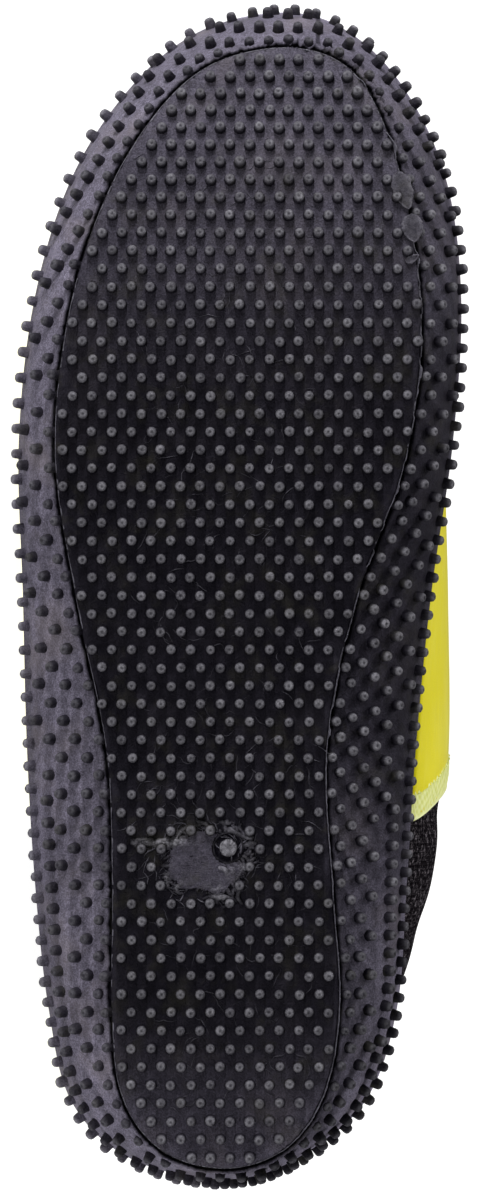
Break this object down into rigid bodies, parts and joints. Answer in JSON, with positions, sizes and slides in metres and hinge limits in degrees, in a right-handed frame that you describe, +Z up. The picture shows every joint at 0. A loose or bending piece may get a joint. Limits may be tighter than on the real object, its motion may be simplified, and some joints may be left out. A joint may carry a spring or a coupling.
{
  "type": "water shoe",
  "caption": "Right water shoe lying on its side: black rubber cup sole with round nubs, black mesh upper, yellow vamp panel, open collar.",
  "frame": {"origin": "middle of the footprint on the floor, with the shoe lying on its lateral side", "axes": "+X from toe to heel, sole towards -Y, medial side up, +Z up"},
  "size_m": [0.2852, 0.0948, 0.1093],
  "materials": {
    "black_rubber": "matt, dusty",
    "black_mesh": "knitted mesh with fine holes",
    "yellow_panel": "smooth coated cloth with a soft gloss",
    "pale_yellow": "smooth coated cloth",
    "black_binding": "soft elastic band",
    "grey_foam": "cloth-covered foam sheet"
  },
  "bodies": {
    "root": {"outsole": "black_rubber", "upper": "black_mesh", "vamp_panel": "yellow_panel", "heel_patch": "pale_yellow", "collar_binding": "black_binding", "insole": "grey_foam"}
  },
  "joints": []
}
